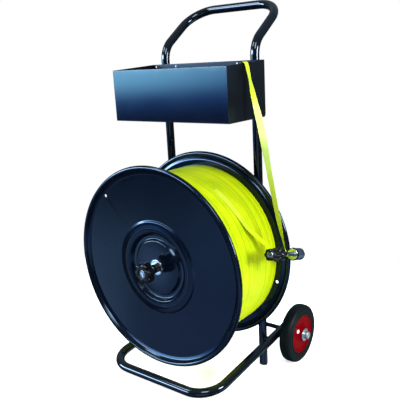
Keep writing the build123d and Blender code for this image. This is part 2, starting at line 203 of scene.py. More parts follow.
def enamel(name, colour, rough=0.16, peel=0.05, dust=0.5, tint=(0.62, 0.74, 1.0), gloss=0.55):
    """Glossy powder coat: faint orange peel, slight uneven gloss, a little dust."""
    n = Nodes(name)
    p = n.pos()
    peel_h = n.noise(p, 420, 2, 0.5)
    fine = n.noise(p, 1500, 2, 0.6)
    h = n.math("ADD", peel_h, n.math("MULTIPLY", fine, 0.25))
    cloud = n.noise(p, 14, 5, 0.6)
    speck = n.noise(p, 900, 1, 0.5)
    speck = n.math("GREATER_THAN", speck, 0.74)
    base = n.mix(
        n.math("MULTIPLY", cloud, 0.5),
        tuple(c * 0.75 for c in colour),
        tuple(min(1, c * 1.35) for c in colour),
    )
    base = n.mix(n.math("MULTIPLY", speck, 0.05 * dust), base, (0.5, 0.52, 0.56))
    r = n.ramp(cloud, [(0.25, (rough * 0.8,) * 3), (0.8, (rough * 1.35,) * 3)])
    n.set(
        Base_Color=base,
        Roughness=r,
        Specular_IOR_Level=gloss,
        Specular_Tint=(*tint, 1),
        Normal=n.bump(h, peel, 0.0006),
    )
    return n.mat


def metal(name, colour, rough, scratch=0.25, brushed=None):
    """Bright plated or turned metal with fine scratches."""
    n = Nodes(name)
    p = n.pos(brushed or (1, 1, 1))
    f = n.noise(p, 700, 3, 0.7)
    c = n.noise(n.pos(), 60, 4, 0.6)
    base = n.mix(c, tuple(x * 0.82 for x in colour), colour)
    r = n.ramp(
        n.math("ADD", n.math("MULTIPLY", f, 0.5), n.math("MULTIPLY", c, 0.5)),
        [(0.3, (rough * 0.7,) * 3), (0.75, (min(1, rough * 1.5),) * 3)],
    )
    n.set(
        Base_Color=base,
        Metallic=1.0,
        Roughness=r,
        Normal=n.bump(f, scratch, 0.0002),
    )
    return n.mat


def plastic(name, colour, rough, grain=0.15, scale=900, gloss=0.5):
    n = Nodes(name)
    p = n.pos()
    g = n.noise(p, scale, 3, 0.6)
    c = n.noise(p, 40, 4, 0.6)
    base = n.mix(c, tuple(x * 0.8 for x in colour), tuple(min(1, x * 1.2) for x in colour))
    r = n.ramp(c, [(0.3, (rough * 0.85,) * 3), (0.75, (min(1, rough * 1.2),) * 3)])
    n.set(
        Base_Color=base,
        Roughness=r,
        Specular_IOR_Level=gloss,
        Normal=n.bump(g, grain, 0.0003),
    )
    return n.mat


M = {}
M["tube"] = enamel("tube_enamel", (0.0014, 0.0024, 0.0044), 0.09, 0.006, 0.3, (0.62, 0.80, 1.0))
M["disc"] = enamel("disc_enamel", (0.0010, 0.0026, 0.0070), 0.115, 0.004, 0.3, (0.42, 0.66, 1.0), 0.45)
M["box"] = enamel("box_enamel", (0.0022, 0.0046, 0.0170), 0.12, 0.010, 0.5, (0.60, 0.84, 1.0))
# painted shade: a darker, rougher, less glossy copy of the box enamel, used on the back plate and both end walls so
# that the inside of the box looks near-black
M["box_painted_shade"] = enamel("box_enamel_painted_shade", (0.0012, 0.0020, 0.0036), 0.34, 0.03, 0.3, (0.5, 0.7, 1.0), 0.35)
M["red"] = enamel("red_enamel", (0.125, 0.0002, 0.0020), 0.42, 0.05, 0.0, (1, 0.05, 0.05), 0.02)
M["zinc"] = metal("zinc_plate", (0.62, 0.66, 0.70), 0.28)
M["bright"] = metal("bright_zinc", (0.62, 0.74, 0.78), 0.34, 0.1)
M["chrome"] = metal("chrome_plate", (0.74, 0.82, 0.86), 0.10, 0.06)
M["blued"] = metal("blued_steel", (0.16, 0.24, 0.36), 0.34, 0.3)
M["brass"] = metal("brass_insert", (0.72, 0.56, 0.28), 0.25)
M["knob"] = plastic("knob_plastic", (0.0028, 0.0040, 0.0060), 0.17, 0.008, gloss=0.28)
M["foot"] = plastic("foot_plastic", (0.0050, 0.0085, 0.0110), 0.42, 0.3, gloss=0.2)
M["plug"] = plastic("pale_plug", (0.78, 0.80, 0.90), 0.40, 0.05)
M["nylon"] = plastic("nylon", (0.62, 0.60, 0.54), 0.45, 0.1)


def tyre_material():
    n = Nodes("tyre_rubber")
    p = n.pos()
    g = n.noise(p, 1100, 4, 0.7)
    c = n.noise(p, 30, 5, 0.65)
    base = n.ramp(
        c, [(0.3, (0.0010, 0.0030, 0.0036)), (0.62, (0.0020, 0.0050, 0.0058)), (0.85, (0.0044, 0.0082, 0.0092))]
    )
    n.set(
        Base_Color=base,
        Roughness=n.ramp(c, [(0.3, (0.42,) * 3), (0.8, (0.6,) * 3)]),
        Specular_IOR_Level=0.10,
        Normal=n.bump(g, 0.3, 0.0004),
    )
    return n.mat


M["tyre"] = tyre_material()


def strap_material(name="strap_polypropylene", painted_glow=False, wound=False):
    """Polypropylene strapping: saturated yellow-green, fine grain, a soft waxy
    gloss. On the free strap a stretch is painted paler and milky by its height:
    painted light, standing in for light shining through the single thickness."""
    n = Nodes(name)
    p = n.pos()
    c = n.noise(n.pos((6, 6, 6)), 3.2, 4, 0.6)
    d = n.noise(p, 240, 3, 0.6)
    base = n.ramp(
        c,
        [
            (0.28, (0.28, 0.40, 0.0003)),
            (0.50, (0.36, 0.46, 0.0008)),
            (0.74, (0.42, 0.51, 0.0030)),
        ],
    )
    base = n.mix(n.math("MULTIPLY", d, 0.15), base, (0.54, 0.64, 0.02))
    if wound:
        # painted shade: fine uneven darker lines round the reel, standing in for the shade where the edges of the turns
        # step down
        along = n.t.nodes.new("ShaderNodeVectorMath")
        along.operation = "DOT_PRODUCT"
        n.link(p, along.inputs[0])
        along.inputs[1].default_value = (0, math.cos(LEAN), math.sin(LEAN))
        line = n.t.nodes.new("ShaderNodeTexNoise")
        line.noise_dimensions = "1D"
        n.link(along.outputs["Value"], line.inputs["W"])
        line.inputs["Scale"].default_value = 150
        line.inputs["Detail"].default_value = 3
        painted_edge_shade = n.ramp(line.outputs["Fac"], [(0.34, (0.66, 0.74, 0.5)), (0.50, (0.93, 0.95, 0.9)), (0.66, (1, 1, 1))])
        base = n.mix(1.0, base, painted_edge_shade, "MULTIPLY")
    if painted_glow:
        # painted light: the free strap is painted pale and whitish by height, fading in from about 0.4 m, palest near
        # 0.63 m and gone above about 0.71 m, for light shining through it
        split = n.t.nodes.new("ShaderNodeSeparateXYZ")
        n.link(p, split.inputs[0])
        high = split.outputs[2]
        painted_backlit_pale = n.ramp(
            high,
            [
                (0.36, (0, 0, 0)),
                (0.50, (0.16,) * 3),
                (0.58, (0.50,) * 3),
                (0.635, (1, 1, 1)),
                (0.67, (0.9,) * 3),
                (0.71, (0.10,) * 3),
            ],
            "EASE",
        )
        base = n.mix(painted_backlit_pale, base, (0.62, 0.76, 0.24))
    n.set(
        Base_Color=base,
        Roughness=n.ramp(d, [(0.3, (0.36,) * 3), (0.8, (0.5,) * 3)]),
        Specular_IOR_Level=0.09,
        Specular_Tint=(1.0, 1.0, 0.45, 1),
        Normal=n.bump(d, 0.12, 0.0003),
    )
    return n.mat


M["strap"] = strap_material()
M["strap_wound"] = strap_material("strap_polypropylene_wound", wound=True)
# the free strap's material, with its painted pale stretch (painted light shining through)
M["strap_free"] = strap_material("strap_polypropylene_free_painted_glow", True)


# ---------------------------------------------------------------- mesh tools
def fillet(points, radii, n=8, closed=False):
    """Points with each corner turned into an arc. Any dimension."""
    pts = [Vector(p) for p in points]
    count = len(pts)
    out = []
    for i, p in enumerate(pts):
        r = radii[i] if isinstance(radii, (list, tuple)) else radii
        if (not closed and i in (0, count - 1)) or r <= 0:
            out.append(p.copy())
            continue
        a, b = pts[i - 1] - p, pts[(i + 1) % count] - p
        la, lb = a.length, b.length
        a.normalize()
        b.normalize()
        ang = a.angle(b)
        if ang > math.pi - 1e-4:
            out.append(p.copy())
            continue
        d = min(r / math.tan(ang / 2), 0.49 * la, 0.49 * lb)
        rr = d * math.tan(ang / 2)
        mid = (a + b).normalized()
        centre = p + mid * (rr / math.sin(ang / 2))
        s, e = p + a * d - centre, p + b * d - centre
        sweep = s.angle(e)
        for k in range(n + 1):
            t = k / n
            v = (math.sin((1 - t) * sweep) * s + math.sin(t * sweep) * e) / math.sin(sweep)
            out.append(centre + v)
    return out


def make(name, verts, faces, material, body, slot, *nodes, sharp=38, keep_frame=False):
    """A smooth-shaded mesh piece, from millimetres in the assembly frame."""
    me = bpy.data.meshes.new(name)
    m = Matrix.Identity(4) if keep_frame else STANCE
    me.from_pydata([tuple(m @ Vector(v)) for v in verts], [], faces)
    bm = bmesh.new()
    bm.from_mesh(me)
    bmesh.ops.remove_doubles(bm, verts=bm.verts, dist=1e-7)
    bmesh.ops.recalc_face_normals(bm, faces=bm.faces)
    bm.to_mesh(me)
    bm.free()
    for poly in me.polygons:
        poly.use_smooth = True
    me.set_sharp_from_angle(angle=math.radians(sharp))
    o = bpy.data.objects.new(name, me)
    bpy.context.collection.objects.link(o)
    me.materials.append(M[material] if isinstance(material, str) else material)
    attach(o, body)
    if nodes:
        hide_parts(*nodes)
    return o


def frame_of(direction, hint=(1, 0, 0)):
    d = Vector(direction).normalized()
    x = Vector(hint) - Vector(hint).dot(d) * d
    x.normalize()
    return x, d.cross(x), d


class Solid:
    """Collects vertices and faces of several closed forms in one piece."""

    def __init__(self):
        self.v, self.f = [], []

    def lathe(self, profile, origin, axis, seg=96, closed=True, hint=(1, 0, 0), radius=None):
        """Turns (radius, height) round the axis. radius(theta, r, h) may vary it."""
        x, y, d = frame_of(axis, hint)
        o = Vector(origin)
        base, n = len(self.v), len(profile)
        for j in range(seg):
            t = 2 * math.pi * j / seg
            u = math.cos(t) * x + math.sin(t) * y
            for p in profile:
                r, h = p[0], p[1]
                if radius is not None:
                    r = radius(t, r, h)
                self.v.append(o + u * r + d * h)
        last = n if closed else n - 1
        for j in range(seg):
            k = (j + 1) % seg
            for i in range(last):
                a, b = i, (i + 1) % n
                self.f.append(
                    (base + j * n + a, base + k * n + a, base + k * n + b, base + j * n + b)
                )
        return self

    def sweep(self, path, r, seg=40, cap=True):
        """A round tube along a list of points, with rotation-minimising rings."""
        pts = [Vector(p) for p in path]
        base = len(self.v)
        t = [(pts[min(i + 1, len(pts) - 1)] - pts[max(i - 1, 0)]).normalized() for i in range(len(pts))]
        side = frame_of(t[0], (0.3, 0.5, 0.8))[0]
        for i, p in enumerate(pts):
            side = (side - side.dot(t[i]) * t[i]).normalized()
            up = t[i].cross(side)
            for k in range(seg):
                a = 2 * math.pi * k / seg
                self.v.append(p + r * (math.cos(a) * side + math.sin(a) * up))
        for i in range(len(pts) - 1):
            for k in range(seg):
                m = (k + 1) % seg
                self.f.append(
                    (
                        base + i * seg + k,
                        base + i * seg + m,
                        base + (i + 1) * seg + m,
                        base + (i + 1) * seg + k,
                    )
                )
        if cap:
            self.f.append(tuple(base + k for k in range(seg))[::-1])
            self.f.append(tuple(base + (len(pts) - 1) * seg + k for k in range(seg)))
        return self

    def prism(self, outline, origin, axis, h0, h1, bevel=0.6, steps=2, hint=(1, 0, 0)):
        """A plate with rounded long edges: outline is (x, y) points."""
        x, y, d = frame_of(axis, hint)
        o = Vector(origin)
        pts = [Vector((p[0], p[1])) for p in outline]
        n = len(pts)
        normals = []
        area = sum(pts[i].x * pts[(i + 1) % n].y - pts[(i + 1) % n].x * pts[i].y for i in range(n))
        sgn = 1 if area > 0 else -1
        for i in range(n):
            e = (pts[(i + 1) % n] - pts[i - 1]).normalized()
            normals.append(Vector((e.y, -e.x)) * sgn)
        rings = []
        for k in range(steps + 1):
            a = math.pi / 2 * k / steps
            rings.append((bevel * (1 - math.sin(a)), h0 + bevel * (1 - math.cos(a))))
        rings += [(i, h1 - (h - h0)) for i, h in reversed(rings)]
        base = len(self.v)
        for inset, h in rings:
            for p, m in zip(pts, normals):
                q = p - m * inset
                self.v.append(o + x * q.x + y * q.y + d * h)
        for r in range(len(rings) - 1):
            for i in range(n):
                k = (i + 1) % n
                self.f.append((base + r * n + i, base + r * n + k, base + (r + 1) * n + k, base + (r + 1) * n + i))
        self.f.append(tuple(base + i for i in range(n))[::-1])
        self.f.append(tuple(base + (len(rings) - 1) * n + i for i in range(n)))
        return self

    def done(self, name, material, body, slot, *nodes, **kw):
        return make(name, self.v, self.f, material, body, slot, *nodes, **kw)


def rounded(profile, radii, n=5, closed=True):
    return [(p.x, p.y) for p in fillet([Vector((a, b, 0)) for a, b in profile], radii, n, closed)]


# ---------------------------------------------------------------- tube frames
def dense(points, step):
    out = [Vector(points[0])]
    for a, b in zip(points, points[1:]):
        a, b = Vector(a), Vector(b)
        k = max(1, int((b - a).length // step))
        out += [a.lerp(b, (i + 1) / k) for i in range(k)]
    return out


main_path = fillet(
    [
        (-UPRIGHT_X, 0, 3.0),
        (-UPRIGHT_X, 0, BEND_Z),
        (-UPRIGHT_X, HANDLE_Y, HANDLE_Z),
        (UPRIGHT_X, HANDLE_Y, HANDLE_Z),
        (UPRIGHT_X, 0, BEND_Z),
        (UPRIGHT_X, 0, 3.0),
    ],
    [0, 60, 70, 70, 60, 0],
    14,
)
Solid().sweep(dense(main_path, 60), TUBE_R, 48).done(
    "main_frame_tube", "tube", "frame", "black_enamel", "main_frame"
)
base_path = fillet(
    [
        (-BASE_X, BASE_END_Y, base_z(BASE_END_Y)),
        (-BASE_X, BAR_Y, BAR_Z),
        (BASE_X, BAR_Y, BAR_Z),
        (BASE_X, BASE_END_Y, base_z(BASE_END_Y)),
    ],
    [0, 65, 65, 0],
    16,
)
Solid().sweep(dense(base_path, 60), TUBE_R, 48).done(
    "base_frame_tube", "tube", "frame", "black_enamel", "base_frame"
)

# feet: a plastic end as wide as the tube, cut flat on the floor
feet = Solid()
for x in (-UPRIGHT_X, UPRIGHT_X):
    rings = [(11.0, 3.4), (11.0, 1.0), (10.4, 0.0)]
    base = len(feet.v)
    seg = 48
    for r, h in rings:
        for k in range(seg):
            a = 2 * math.pi * k / seg
            px, py = r * math.cos(a), r * math.sin(a)
            floor = -FOOT_DROP - py * math.tan(LEAN)
            feet.v.append(Vector((x + px, py, floor + 0.02 if h == 0 else max(floor + 0.5, h))))
    for i in range(2):
        for k in range(seg):
            m = (k + 1) % seg
            feet.f.append((base + i * seg + k, base + i * seg + m, base + (i + 1) * seg + m, base + (i + 1) * seg + k))
    feet.f.append(tuple(base + k for k in range(seg)))
    feet.f.append(tuple(base + 2 * seg + k for k in range(seg))[::-1])
feet.done("foot_ends", "foot", "frame", "foot_plastic", "foot_plugs")

plugs = Solid()
BASE_DIR = Vector((0, 1, BASE_SLOPE)).normalized()
for x in (-BASE_X, BASE_X):
    plugs.lathe(
        rounded([(0.01, 0), (10.8, 0), (10.8, 2.4), (0.01, 2.4)], [0, 0.3, 1.2, 0]),
        (x, BASE_END_Y, base_z(BASE_END_Y)),
        BASE_DIR,
        48,
    )
plugs.done("base_tube_plugs", "foot", "frame", "foot_plastic", "base_end_plugs")

# ---------------------------------------------------------------- reel discs
PRESSING = [
    (66, 6.0),
    (70.5, 12.0),
    (79.5, 12.0),
    (85.5, 3.2),
    (92, 2.2),
    (99, 2.5),
    (106, 3.4),
    (113, 3.9),
    (117, 6.0),
    (229, 6.0),
    (235, 3.6),
]
PRESS_R = [3, 2.5, 3, 2.5, 8, 10, 10, 3, 2.2, 5, 5]


def disc(name, node, centre_y, towards, hole, holes, material="disc"):
    """A pressed sheet disc with a rolled rim. Heights run towards the coil."""
    line = [(hole, 6.0)] + PRESSING
    mid = fillet([Vector((r, h, 0)) for r, h in line] + [Vector((239.4, 0.4, 0))], [0] + PRESS_R + [0], 6)
    mid = [(p.x, p.y) for p in mid]
    near, far = [], []
    for i, (r, h) in enumerate(mid):
        a, b = mid[max(i - 1, 0)], mid[min(i + 1, len(mid) - 1)]
        d = Vector((b[0] - a[0], b[1] - a[1])).normalized()
        near.append((r, h))
        far.append((r - d.y * 1.5, h + d.x * 1.5))
    curl = [
        (244.5 + 5.5 * math.cos(t), 5.5 * math.sin(t))
        for t in [math.radians(180 + 14 + k * (332 / 26)) for k in range(27)]
    ]
    # the curl runs from the sheet's near side, round the outside, to the far side
    profile = near[:-1] + curl + far[::-1][1:]
    s = Solid().lathe(
        [(r, h * 1.0) for r, h in profile],
        (0, centre_y, REEL_Z),
        (0, towards, 0),
        288,
        True,
    )
    return s




# ---------------------------------------------------------------- coil
def coil():
    """Wound strap: each turn lies a strap's width further along and rests on
    the edge of the last one, so the surface is a fine helical step."""
    s = Solid()
    y0, y1 = -243.3, -46.7
    pitch = 196.6 / 12.5
    seg, rows = 360, 151
    rng = np.random.default_rng(7)
    wave = rng.uniform(-1, 1, 64)
    base = len(s.v)
    for j in range(seg):
        t = 2 * math.pi * j / seg
        ct, st = math.cos(t), math.sin(t)
        for i in range(rows):
            f = i / (rows - 1)
            y = y0 + (y1 - y0) * f
            u = (y - y0) / pitch + t / (2 * math.pi)
            k = int(math.floor(u)) % 64
            g = u - math.floor(u)
            # a shingled band: rises along its width, drops at its edge
            step = 0.75 * (g if g < 0.93 else (1 - g) / 0.07 * 0.93)
            v2 = (y - y0) / pitch * 0.97 - t / (2 * math.pi) + 0.4
            g2 = v2 - math.floor(v2)
            low = 0.35 * max(0.0, 1 - abs(g2 - 0.5) * 9)
            sag = 0.5 * wave[k] + 0.35 * math.sin(3 * t + 5 * wave[(k + 9) % 64])
            r = COIL_R - 0.9 + step + low * 0.6 + 0.35 * sag
            r = min(r, COIL_R + 0.1)
            edge = min(f, 1 - f) * (y1 - y0)
            if edge < 1.2:
                r -= 0.5 * (1.2 - edge)
            s.v.append(Vector((r * ct, y, REEL_Z + r * st)))
    for j in range(seg):
        k = (j + 1) % seg
        for i in range(rows - 1):
            s.f.append((base + j * rows + i, base + k * rows + i, base + k * rows + i + 1, base + j * rows + i + 1))
    # flat faces, down to the core
    for row, y in ((0, y0), (rows - 1, y1)):
        rings = [210, 200, 185, 165, 140, 118, 100]
        prev = [base + j * rows + row for j in range(seg)]
        for rr in rings:
            here = []
            for j in range(seg):
                t = 2 * math.pi * j / seg
                here.append(len(s.v))
                s.v.append(Vector((rr * math.cos(t), y, REEL_Z + rr * math.sin(t))))
            for j in range(seg):
                k = (j + 1) % seg
                s.f.append((prev[j], prev[k], here[k], here[j]))
            prev = here
        if row == 0:
            first = prev
    for j in range(seg):
        k = (j + 1) % seg
        s.f.append((first[j], first[k], prev[k], prev[j]))
    return s.done("wound_coil", "strap_wound", "reel", "strap_plastic", "strapping_coil", sharp=75)


coil()

# ---------------------------------------------------------------- reel knob
RA = (0, -1, 0)  # reel axis, pointing to the front
RO = (0, 0, REEL_Z)
Solid().lathe(
    rounded([(6.6, 245.3), (19.5, 245.3), (19.5, 248.3), (6.6, 248.3)], [0, 0.3, 1.0, 0.6]),
    RO,
    RA,
    96,
).done("clamp_washer", "chrome", "front_disc", "chrome_steel", "knob_washer")


def lobes(count, depth, start, sharpness=1.0):
    def radius(t, r, h, full=[0]):
        w = 0.5 + 0.5 * math.cos(count * (t - start))
        w = w**sharpness
        return r - depth * (1 - w) * min(1.0, max(0.0, (r - 12) / 8))

    return radius


def star(origin, axis, profile, count, depth, start, seg=192, inner=10.0, outer=22.0):
    def radius(t, r, h):
        if r <= inner:
            return r
        w = abs(math.cos(count * (t - start) / 2)) ** 0.75
        k = min(1.0, (r - inner) / (outer - inner))
        return r - depth * (1 - w) * k

    s = Solid()
    s.lathe(profile, origin, axis, seg, True, (1, 0, 0), radius)
    return s


star(
    RO,
    RA,
    rounded(
        [
            (9.0, 248.6),
            (12, 248.6),
            (12.4, 266),
            (15, 273.5),
            (24.5, 275.6),
            (26.2, 279),
            (26.2, 295),
            (23.0, 299.6),
            (11.5, 300),
            (10, 298.6),
            (10, 296.0),
            (9.0, 296.0),
        ],
        [0, 0.6, 3, 4, 2.5, 2, 3.5, 3, 0.8, 0.6, 0.3, 0],
        4,
    ),
    6,
    7.5,
    math.radians(15),
).done("reel_star_knob", "knob", "reel_knob", "black_plastic", "reel_knob", sharp=50)
Solid().lathe(
    rounded([(6.05, 248.6), (8.95, 248.6), (8.95, 296.2), (6.05, 296.2)], [0, 0.2, 0.6, 0.3]), RO, RA, 64
).done("knob_thread_insert", "zinc", "reel_knob", "brass", "knob_insert")

# threaded stud
stud = Solid()
prof = [(0.01, 231), (13.9, 231), (13.9, 243.6), (6.0, 243.6)]
h = 245.0
while h < 295.4:
    prof += [(5.95, h), (5.35, h + 0.7)]
    h += 1.4
prof += [(5.9, 296.0), (5.0, 297.8), (0.01, 298.0)]
stud.lathe(prof, RO, RA, 64)
stud.done("hub_end_stud", "chrome", "reel", "zinc_steel", "hub_stud", sharp=50)


# ---------------------------------------------------------------- tool box
def drilled(o, cutter, angle=35):
    """Cuts a set of closed forms out of a piece and tidies its shading."""
    me = bpy.data.meshes.new("cut")
    me.from_pydata([tuple(STANCE @ v) for v in cutter.v], [], cutter.f)
    bm = bmesh.new()
    bm.from_mesh(me)
    bmesh.ops.remove_doubles(bm, verts=bm.verts, dist=2e-5)
    bmesh.ops.recalc_face_normals(bm, faces=bm.faces)
    bm.to_mesh(me)
    bm.free()
    c = bpy.data.objects.new("cut", me)
    bpy.context.collection.objects.link(c)
    mod = o.modifiers.new("holes", "BOOLEAN")
    mod.object = c
    mod.solver = "EXACT"
    bpy.context.view_layer.update()
    done = bpy.data.meshes.new_from_object(o.evaluated_get(bpy.context.evaluated_depsgraph_get()))
    o.modifiers.clear()
    o.data = done
    bpy.data.objects.remove(c)
    for poly in done.polygons:
        poly.use_smooth = True
    done.set_sharp_from_angle(angle=math.radians(angle))
    return o


def plate(s, corners, thickness, normal, bevel=0.3):
    """A flat plate with eased edges, from its corners on one side."""
    c = [Vector(p) for p in corners]
    n = Vector(normal).normalized()
    mid = sum(c, Vector()) / len(c)
    k = len(c)
    base = len(s.v)
    for depth, inset in (
        (0, bevel),
        (bevel * 0.3, bevel * 0.3),
        (bevel, 0),
        (thickness - bevel, 0),
        (thickness - bevel * 0.3, bevel * 0.3),
        (thickness, bevel),
    ):
        s.v += [p + (mid - p).normalized() * inset * 1.4 + n * depth for p in c]
    for r in range(5):
        for i in range(k):
            j = (i + 1) % k
            s.f.append((base + r * k + i, base + r * k + j, base + (r + 1) * k + j, base + (r + 1) * k + i))
    s.f.append(tuple(base + i for i in range(k))[::-1])
    s.f.append(tuple(base + 5 * k + i for i in range(k)))


def folded(s, profile, t, x0, x1, cols=2):
    """A sheet folded along X: profile is its outer line in (y, z), t its
    thickness to the left of the line's direction."""
    pts = [Vector((p[0], p[1])) for p in profile]
    n = len(pts)
    inner = []
    for i, p in enumerate(pts):
        a, b = pts[max(i - 1, 0)], pts[min(i + 1, n - 1)]
        d = (b - a).normalized()
        inner.append(p + Vector((-d.y, d.x)) * t)
    ring = pts + inner[::-1]
    m = len(ring)
    base = len(s.v)
    for i in range(cols + 1):
        x = x0 + (x1 - x0) * i / cols
        s.v += [Vector((x, p.x, p.y)) for p in ring]
    for c in range(cols):
        for i in range(m):
            k = (i + 1) % m
            s.f.append((base + c * m + i, base + c * m + k, base + (c + 1) * m + k, base + (c + 1) * m + i))
    for c, flip in ((0, True), (cols, False)):
        for i in range(n - 1):
            q = (base + c * m + i, base + c * m + i + 1, base + c * m + m - 2 - i, base + c * m + m - 1 - i)
            s.f.append(q[::-1] if flip else q)


def tool_box():
    t = 1.2
    x, y0, y1, z0, z1, zb = BOX_X, BOX_Y0, BOX_Y1, BOX_Z0, BOX_Z1, BOX_BACK_Z
    tray = Solid()
    line = fillet(
        [
            Vector((y0 + 2 * t + 0.4, z1 - 7.0, 0)),
            Vector((y0 + 2 * t + 0.4, z1, 0)),
            Vector((y0, z1, 0)),
            Vector((y0, z0, 0)),
            Vector((y1, z0, 0)),
            Vector((y1, z0 + 8.4, 0)),
        ],
        [0, 1.3, 1.3, 2.4, 8.0, 0],
        6,
    )
    folded(tray, [(p.x, p.y) for p in line], t, -x + t + 0.03, x - t - 0.03, cols=6)
    for sx in (-1, 1):
        # tabs of the folded sheet, lapped inside the end walls
        xi = sx * (x - t - 0.05)
        plate(
            tray,
            [(xi, y0 + t + 0.1, z0 + 6), (xi, y0 + 15, z0 + 9), (xi, y0 + 15, z1 - 12), (xi, y0 + t + 0.1, z1 - 9)],
            t,
            (-sx, 0, 0),
        )
    tray.done("tool_box_front_and_floor", "box", "frame", "box_enamel", "tool_box_tray", sharp=35)

    # the back plate and the end walls below take the darker copy of the box enamel: painted shade
    back = Solid()
    plate(
        back,
        [(-x + t, y1, z0 + 8.2), (x - t, y1, z0 + 8.2), (x - t, y1, zb), (-x + t, y1, zb)],
        t,
        (0, -1, 0),
        0.25,
    )
    o = back.done("tool_box_back_plate", "box_painted_shade", "frame", "box_enamel", "tool_box_back", sharp=35)
    c = Solid()
    for hx in (-165, -96.6, 96.6, 165):
        c.lathe([(0.01, -6), (2.6, -6), (2.6, 6), (0.01, 6)], (hx, y1 - 0.6, 797), (0, 1, 0), 20)
    drilled(o, c)

    for side, sx in (("left", -1), ("right", 1)):
        end = Solid()
        outline = fillet(
            [Vector((y0, z0, 0)), Vector((y1, z0, 0)), Vector((y1, zb, 0)), Vector((y0, z1, 0))],
            [2.0, 8.0, 1.0, 1.2],
            6,
            True,
        )
        plate(end, [(sx * x, p.x, p.y) for p in outline], t, (-sx, 0, 0), 0.3)
        end.done("tool_box_wall_" + side, "box_painted_shade", "frame", "box_enamel", "tool_box_end_" + side, sharp=35)


tool_box()


def hexagon(af, n=3):
    r = af / math.cos(math.pi / 6) / 2
    pts = [(r * math.cos(math.radians(60 * k + 30)), r * math.sin(math.radians(60 * k + 30))) for k in range(6)]
    return rounded(pts, 0.6, 2)


bolts, nuts = Solid(), Solid()
for bx in (-UPRIGHT_X, UPRIGHT_X):
    for bz in (700, 770):
        o = (bx, 0, bz)
        bolts.prism(hexagon(10), o, (0, 1, 0), 11.0, 15.0, 0.5)
        bolts.lathe(rounded([(0.01, 11.0), (3.0, 11.0), (3.0, -20.0), (0.01, -20.0)], [0, 0, 0.6, 0]), o, (0, 1, 0), 32)
        nuts.prism(hexagon(10), o, (0, 1, 0), -17.3, -12.35, 0.5)
bolts.done("box_fixing_bolts", "zinc", "frame", "zinc_steel", "box_bolts")
nuts.done("box_fixing_nuts", "zinc", "frame", "zinc_steel", "box_nuts")

# ---------------------------------------------------------------- disc pieces
def disc_piece(name, node, body, centre_y, towards, hole, theta):
    s = disc(name, node, centre_y, towards, hole, None)
    o = s.done(name, "disc", body, "disc_enamel", node, sharp=60)
    a = math.radians(theta)
    c = Solid().lathe(
        [(0.01, -12), (4.0, -12), (4.0, 12), (0.01, 12)],
        (224.5 * math.cos(a), centre_y + towards * 7, REEL_Z + 224.5 * math.sin(a)),
        (0, 1, 0),
        24,
    )
    return drilled(o, c, 50)

disc_piece("front_disc_pressing", "front_disc", "front_disc", FRONT_Y, 1, 6.5, 134)
disc_piece("rear_disc_pressing", "rear_disc", "reel", REAR_Y, -1, 17.05, -16.5)


# ---------------------------------------------------------------- wheels
TYRE = [
    (50.1, 182.7),
    (50.1, 208.5),
    (52.2, 209.6),
    (52.4, 211.1),
    (54.6, 212.2),
    (58.0, 212.4),
    (59.2, 211.2),
    (62.0, 211.6),
    (68.5, 212.1),
    (69.8, 210.9),
    (74.0, 210.6),
    (78.2, 207.0),
    (79.44, 201.5),
    (79.44, 189.5),
    (78.2, 184.0),
    (74.0, 180.4),
    (69.8, 180.1),
    (68.5, 178.9),
    (62.0, 179.4),
    (59.2, 179.8),
    (58.0, 178.6),
    (54.6, 178.8),
    (52.4, 179.9),
    (52.2, 181.4),
]
TYRE_RAD = [0, 0, 0.3, 0.6, 1.0, 0.8, 0.6, 2, 1.0, 0.8, 3, 4, 5, 5, 4, 3, 0.8, 1.0, 2, 0.6, 0.8, 1.0, 0.6, 0.3]
RIM = [
    (10.05, 217.3),
    (14.0, 217.3),
    (15.6, 213.5),
    (21.0, 209.0),
    (28.0, 206.5),
    (42.0, 206.3),
    (47.6, 208.1),
    (49.8, 210.3),
    (52.1, 210.8),
    (52.1, 209.8),
    (50.0, 208.7),
    (50.0, 182.5),
    (52.1, 181.2),
    (52.1, 180.2),
    (48.4, 181.5),
    (48.4, 206.1),
    (43.0, 204.5),
    (28.6, 204.4),
    (20.4, 206.7),
    (14.0, 210.0),
    (14.0, 179.4),
    (10.05, 179.4),
]
RIM_RAD = [0, 0.6, 1.5, 6, 6, 6, 3, 2, 0.4, 0.3, 1, 1, 0.3, 0.3, 1, 1, 3, 5, 5, 1, 0.4, 0]
for side, sgn in (("left", -1), ("right", 1)):
    ax = (sgn, 0, 0)
    o = (0, AXLE_Y, AXLE_Z)
    Solid().lathe(rounded(TYRE, TYRE_RAD, 4), o, ax, 128, True, (0, 1, 0)).done(
        "tyre_" + side + "_moulded", "tyre", "wheel_" + side, "rubber_tyre", "tyre_" + side, sharp=50
    )
    rim = Solid().lathe(rounded(RIM, RIM_RAD, 4), o, ax, 120, True, (0, 1, 0)).done(
        "rim_" + side + "_pressing", "red", "wheel_" + side, "red_enamel", "rim_" + side, sharp=50
    )
    c = Solid().lathe(
        [(0.01, -8), (5.0, -8), (5.0, 9), (0.01, 9)],
        (sgn * 206, AXLE_Y - 19.5, AXLE_Z + 14.5),
        ax,
        28,
        True,
        (0, 1, 0),
    )
    drilled(rim, c, 50)
    Solid().lathe(
        [(0.01, 204.5), (4.7, 204.5), (4.7, 208.0), (5.5, 208.2), (5.3, 209.4), (3.4, 210.3), (0.01, 210.6)],
        (0, AXLE_Y - 19.5, AXLE_Z + 14.5),
        ax,
        40,
        True,
        (0, 1, 0),
    ).done("rim_" + side + "_plug", "plug", "wheel_" + side, "red_enamel", "rim_" + side, sharp=40)

